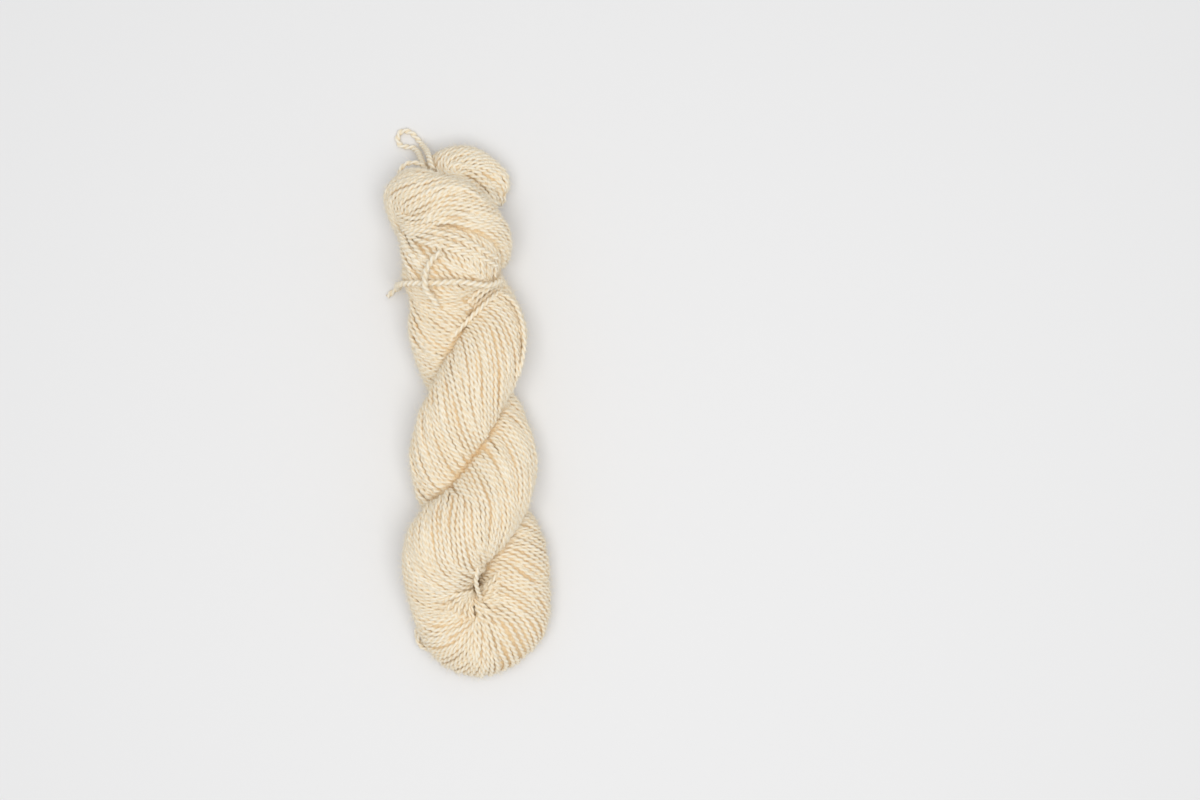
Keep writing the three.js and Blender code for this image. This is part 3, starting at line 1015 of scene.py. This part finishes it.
def add_strand(tubes, lines, line, outward, sides, tone):
    """Sweeps one strand. The given tone, tint and painted shade, is added to the yarn's own painted shade,
    one for all or one for each point.
    """
    radius = STRAND_R * rng.uniform(*SIZE_SPREAD)
    rings, along, angles, shades_and_tints = yarn_rings(line, outward, sides, radius, rng.uniform(0, math.pi))
    tubes.add(rings, along, angles, shades_and_tints + np.reshape(tone, (-1, 1)))
    lines.append((line, outward))


def lay_rows(layer, tubes, lines):
    """Sweeps the strands of the rows, each into the piece that its middle lies in."""
    for strand in layer.strands:
        if strand is None:
            continue
        places, inset = strand
        line, outward, crease_shade = strand_line(layer.bundle, places, inset)
        under = line[:, 2].mean() < BOTTOM_Z
        if under:
            line, outward, crease_shade = line[::2], outward[::2], crease_shade[::2]
        if len(line) < LEAST_RINGS:
            continue
        line = soften(line) + TO_MIDDLE
        piece = layer.bundle.piece_at(np.median(places[:, 0]))
        # each strand's random tint, and painted shade where it lies in a crease
        tone = rng.normal(*STRAND_TONE) + CREASE_PAINTED_SHADE * crease_shade
        add_strand(tubes[piece], lines, line, outward, SIDES_UNDER if under else SIDES, tone)


def add_loose(tubes, lines, line, tone=0.0):
    """Sweeps one single strand."""
    line = line + TO_MIDDLE
    add_strand(tubes, lines, line, tops(line), SIDES_LOOSE, tone)


def lay_loose(bundle, tubes, lines):
    """Sweeps the single strands that lie out of the rows."""
    for loose in LOOSE:
        add_loose(tubes, lines, draped_line(bundle, *loose))
    fan = HOLE_FAN
    for angle in np.linspace(fan.first, fan.last, fan.count):
        reach = np.linspace(fan.near, rng.uniform(*fan.far), fan.places)
        curl = np.radians(angle + rng.uniform(*fan.turn) + fan.curl * reach)
        places = np.column_stack([reach * np.cos(curl), reach * np.sin(curl)]) + fan.middle
        add_loose(tubes, lines, draped_line(bundle, fan.lift, places), fan.tone)
    for places in HUNG:
        add_loose(tubes, lines, even_line(places)[0])


def make_strands(bundle):
    """Lays and sweeps every strand of the hank. Returns their lines and outward directions."""
    layer = Layer(bundle)
    for fill in FILLS:
        layer.fill(fill)
    tubes = [Tubes() for _ in PIECES]
    lines = []
    lay_rows(layer, tubes, lines)
    lay_loose(bundle, tubes[0], lines)
    for name, tube in zip(PIECES, tubes):
        wool_piece(tube.mesh_object(name, WOOL))
    return lines


def make_core(bundle):
    """The wool under the strands, a closed tube just inside the surface, coloured with painted shade."""
    thin = np.maximum(bundle.radius - CORE_INSET, CORE_SLIMMEST)[:, None, None]
    points = bundle.centre[:, None] + thin * bundle.outward
    points[..., 2] = np.maximum(settle(points[..., 2]), CORE_INSET)
    points = points[::CORE_SKIP, ::CORE_SKIP] + TO_MIDDLE
    wool_piece(mesh_from("wool_core", points.reshape(-1, 3), tube_faces(*points.shape[:2]), CORE_SHADE))


def make_plug():
    """The wool at the bottom of the fold's hole, its dark brown the painted shade of the hole."""
    turn = np.linspace(0, 2 * math.pi, PLUG.round + 1)[:-1]
    rise = np.linspace(-math.pi / 2, math.pi / 2, PLUG.rings)
    x = np.outer(np.cos(rise), np.cos(turn))
    y = np.outer(np.cos(rise), np.sin(turn))
    z = np.outer(np.sin(rise), np.ones(PLUG.round))
    points = np.stack([x, y, z], -1) * PLUG.reach + PLUG.centre + TO_MIDDLE
    points[..., 2] = np.maximum(points[..., 2], CORE_INSET)
    wool_piece(mesh_from("wool_plug", points.reshape(-1, 3), tube_faces(*points.shape[:2]), HOLE_SHADE))


def make_fuzz(name, lines):
    """Fine fibres that stand out of the strands, each a ribbon of a few spans that curls over."""
    lengths = np.array([len(line) for line, _ in lines])
    starts = np.concatenate([[0], np.cumsum(lengths)[:-1]])
    points = np.concatenate([line for line, _ in lines])
    outwards = np.concatenate([outward for _, outward in lines])
    tangents = np.concatenate([unit(np.gradient(line, axis=0)) for line, _ in lines])
    at_start = np.zeros(len(points), bool)
    at_start[starts] = True
    usable = np.flatnonzero(~at_start & (points[:, 2] > FIBRE_FROM_Z))
    picked = rng.choice(usable, FIBRES)
    root, out, along = points[picked], unit(outwards[picked]), tangents[picked]
    across = np.cross(out, along)
    tilt = rng.uniform(-FIBRE_TILT, FIBRE_TILT, FIBRES)[:, None]
    facing = unit(np.cos(tilt) * out + np.sin(tilt) * across)
    root = root + facing * YARN_R * FIBRE_ROOT
    way = rng.choice([-1.0, 1.0], FIBRES)[:, None]
    rise = facing * rng.uniform(*FIBRE_RISE, (FIBRES, 1))
    heading = unit(along * way + rise + rng.normal(0, FIBRE_SCATTER, (FIBRES, 3)))
    curl = rng.normal(0, FIBRE_CURL, (FIBRES, 3)) - FIBRE_BEND_IN * facing
    length = rng.lognormal(math.log(FIBRE_LENGTH), FIBRE_LENGTH_SPREAD, FIBRES)
    length = np.clip(length, *FIBRE_LENGTHS)[:, None]
    rows = [root]
    for i in range(FIBRE_SPANS):
        step = unit(heading + curl * (i / FIBRE_SPANS)) * length / FIBRE_SPANS
        rows.append(rows[-1] + step)
    spine = np.stack(rows, 1)
    spine[..., 2] = np.maximum(spine[..., 2], FIBRE_FLOOR)
    side = unit(np.cross(heading, rng.normal(0, 1, (FIBRES, 3))))[:, None]
    width = FIBRE_WIDTH / 2 * np.array(FIBRE_TAPER)[None, :, None]
    both = np.stack([spine - side * width, spine + side * width], 2)
    index = np.arange(FIBRES * (FIBRE_SPANS + 1) * 2).reshape(FIBRES, FIBRE_SPANS + 1, 2)
    quads = np.stack([index[:, :-1, 0], index[:, :-1, 1], index[:, 1:, 1], index[:, 1:, 0]], -1)
    wool_piece(mesh_from(name, both.reshape(-1, 3), quads.reshape(-1, 4), FUZZ))


def make_camera():
    """A camera that looks straight down."""
    camera = new_object("camera", bpy.data.cameras.new("camera"))
    camera.data.lens = CAMERA_LENS
    camera.data.sensor_width = CAMERA_SENSOR
    camera.location = CAMERA_AT
    bpy.context.scene.camera = camera


def make_floor():
    """The plain pale surface that the hank lies on."""
    mesh = bpy.data.meshes.new("floor")
    half = FLOOR_HALF
    corners = [(-half, -half, 0), (half, -half, 0), (half, half, 0), (-half, half, 0)]
    mesh.from_pydata(corners, [], [(0, 1, 2, 3)])
    floor = new_object("floor", mesh)
    material, *_ = principled("paper", {"Base Color": FLOOR_COLOUR, "Roughness": 0.9})
    mesh.materials.append(material)


def make_light():
    """A white sky, and a softbox above that faces the origin."""
    world = bpy.data.worlds.new("world")
    bpy.context.scene.world = world
    world.use_nodes = True
    sky = world.node_tree.nodes["Background"]
    sky.inputs["Color"].default_value = (1, 1, 1, 1)
    sky.inputs["Strength"].default_value = SKY_STRENGTH
    lamp = bpy.data.lights.new("softbox", "AREA")
    lamp.shape = "RECTANGLE"
    lamp.size, lamp.size_y = SOFTBOX_SIZE
    lamp.energy = SOFTBOX_WATTS
    softbox = new_object("softbox", lamp)
    softbox.location = SOFTBOX_AT
    x, y, z = SOFTBOX_AT
    softbox.rotation_euler = (math.atan2(-y, z), math.atan2(x, z), 0)


PIECES = ["head_cap", "rope_ply_a", "bulb_left", "bulb_right", "rope_ply_b", "head_wrap"]
WOOL = wool_material()
CORE_SHADE = core_material("wool_core", CORE_SHADE_DARK, CORE_SHADE_LIGHT)
HOLE_SHADE = core_material("wool_hole_shade", HOLE_SHADE_DARK, HOLE_SHADE_LIGHT)
FUZZ = fuzz_material()

make_camera()
tie_lines = [
    make_tie("top_tie", TOP_TIE),
    make_tie("neck_tie", NECK_TIE),
    make_tie("neck_tie_end", NECK_TIE_END),
]
bundle = Bundle()
strand_lines = make_strands(bundle)
make_core(bundle)
make_plug()
make_fuzz("fuzz_1", strand_lines)
make_fuzz("fuzz_2", strand_lines + TIE_SHARE * tie_lines)
make_floor()
make_light()
bpy.context.scene.view_settings.view_transform = "Standard"
